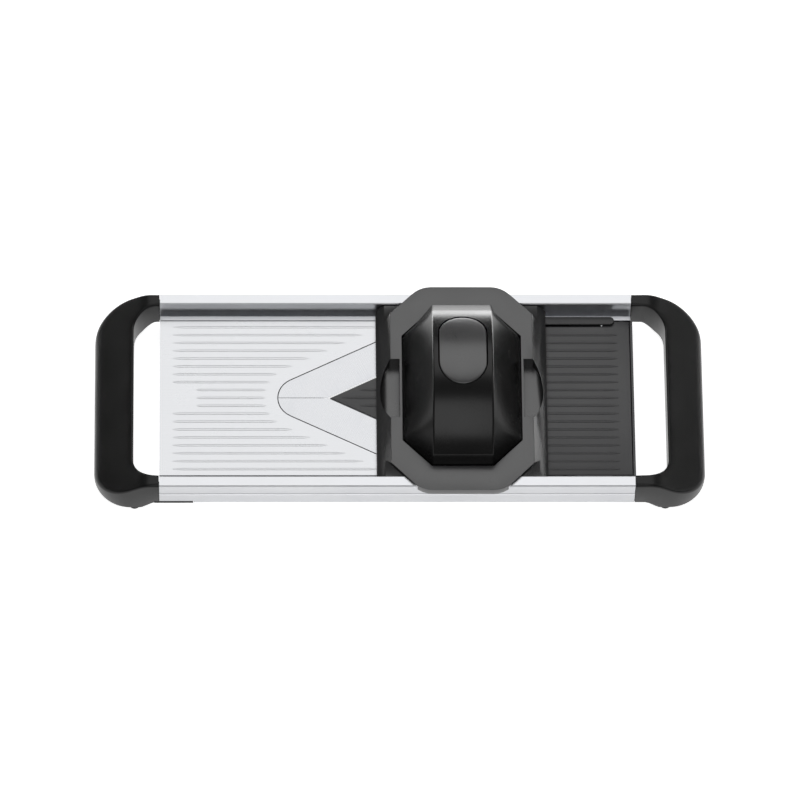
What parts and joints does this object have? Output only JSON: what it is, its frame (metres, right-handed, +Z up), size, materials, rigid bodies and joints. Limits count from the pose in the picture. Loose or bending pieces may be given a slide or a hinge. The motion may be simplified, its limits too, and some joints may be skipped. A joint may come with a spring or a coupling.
{
  "type": "mandoline slicer",
  "caption": "Flat V-blade mandoline slicer with end handles, a ribbed landing plate, a hinged feed plate, a thickness slide and a sliding food holder with a pusher knob.",
  "frame": {"origin": "on the table under the middle of the footprint", "axes": "+X from the landing plate to the feed plate along the rails, +Y to the rear rail, +Z up"},
  "size_m": [0.37, 0.1392, 0.067],
  "materials": {
    "rail_aluminium": "extruded and satin anodised",
    "fasteners": "plain bright screws",
    "handle_plastic": "satin moulded",
    "foot_rubber": "matt moulded rubber",
    "plate_steel": "satin stainless sheet with pressed ribs",
    "blade_steel": "brushed stainless with ground edges",
    "inner_plastic": "plain moulded glass-filled plastic",
    "bright_steel": "drawn bright wire and pin",
    "feed_plastic": "ribbed matt moulding",
    "slide_plastic": "satin moulded",
    "holder_plastic": "satin moulded",
    "shoe_plastic": "plain acetal",
    "knob_plastic": "polished satin moulding",
    "button_plastic": "satin moulded"
  },
  "bodies": {
    "frame": {"rear_rail": "rail_aluminium", "front_rail": "rail_aluminium", "left_handle": "handle_plastic", "right_handle": "handle_plastic", "landing_plate": "plate_steel", "rear_blade": "blade_steel", "front_blade": "blade_steel", "blade_carrier": "inner_plastic", "left_cross_brace": "inner_plastic", "right_cross_brace": "inner_plastic", "pivot_pin": "bright_steel", "left_rear_foot": "foot_rubber", "right_rear_foot": "foot_rubber", "left_front_foot": "foot_rubber", "right_front_foot": "foot_rubber", "left_rear_handle_screw": "fasteners", "right_rear_handle_screw": "fasteners", "left_front_handle_screw": "fasteners", "right_front_handle_screw": "fasteners", "left_rear_brace_screw": "fasteners", "right_rear_brace_screw": "fasteners", "left_front_brace_screw": "fasteners", "right_front_brace_screw": "fasteners", "left_rear_carrier_screw": "fasteners", "right_rear_carrier_screw": "fasteners", "left_front_carrier_screw": "fasteners", "right_front_carrier_screw": "fasteners"},
    "feed_plate": {"feed_plate": "feed_plastic"},
    "thickness_slide": {"thickness_bar": "slide_plastic", "cam_yoke": "inner_plastic", "yoke_screw_1": "fasteners", "yoke_screw_2": "fasteners"},
    "carriage": {"carriage_shell": "holder_plastic", "rear_shoe": "shoe_plastic", "front_shoe": "shoe_plastic"},
    "pusher": {"pusher_dome": "knob_plastic", "pin_plate": "inner_plastic", "button_spring": "bright_steel", "food_pin_1": "bright_steel", "food_pin_2": "bright_steel", "food_pin_3": "bright_steel", "food_pin_4": "bright_steel", "food_pin_5": "bright_steel", "food_pin_6": "bright_steel", "food_pin_7": "bright_steel", "food_pin_8": "bright_steel", "plate_screw_1": "fasteners", "plate_screw_2": "fasteners", "plate_screw_3": "fasteners", "plate_screw_4": "fasteners"},
    "eject_button": {"eject_button": "button_plastic", "ejector_plate": "inner_plastic", "ejector_screw": "fasteners"}
  },
  "joints": [
    {"name": "carriage_slide", "type": "slide", "parent": "frame", "child": "carriage", "axis": [1, 0, 0], "range_m": [-0.126, 0.044]},
    {"name": "pusher_lift", "type": "slide", "parent": "carriage", "child": "pusher", "axis": [0, 0, 1], "range_m": [0, 0.012]},
    {"name": "eject_press", "type": "slide", "parent": "pusher", "child": "eject_button", "axis": [0, 0, -1], "range_m": [0, 0.003], "stiffness_N_per_m": 400, "springref_m": -0.002, "deforming": ["button_spring"]},
    {"name": "thickness_set", "type": "slide", "parent": "frame", "child": "thickness_slide", "axis": [1, 0, 0], "range_m": [-0.018, 0]},
    {"name": "feed_plate_tilt", "type": "hinge", "parent": "frame", "child": "feed_plate", "pos_m": [0.137, 0, 0.016], "axis": [0, 1, 0], "range_deg": [-1.95, 0]}
  ],
  "couplings": [
    {"joint": "feed_plate_tilt", "follows": "thickness_set", "rad_per_m": 1.85}
  ]
}
